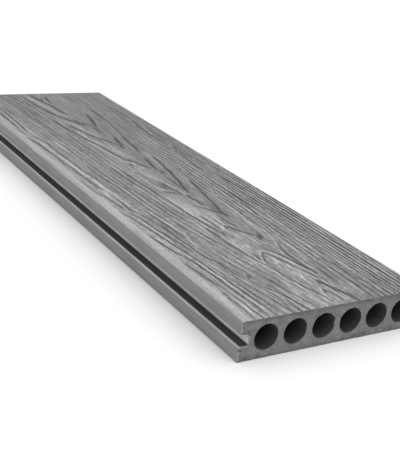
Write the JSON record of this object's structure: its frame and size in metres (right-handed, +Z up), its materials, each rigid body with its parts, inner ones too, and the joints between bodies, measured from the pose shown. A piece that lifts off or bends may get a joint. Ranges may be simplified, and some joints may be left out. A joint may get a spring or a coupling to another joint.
{
  "type": "decking board",
  "caption": "Hollow composite decking board with round hollows along its length, a clip groove in each side and an embossed wood-grain walking face",
  "frame": {"origin": "on the underside, at the middle of the board's width and length", "axes": "+X across the board, +Y along its length, +Z up out of the walking face"},
  "size_m": [0.135, 0.45, 0.025],
  "materials": {
    "composite": "grey wood-plastic composite, embossed wood grain on top, sawn ends"
  },
  "bodies": {
    "root": {"decking_board": "composite"}
  },
  "joints": []
}
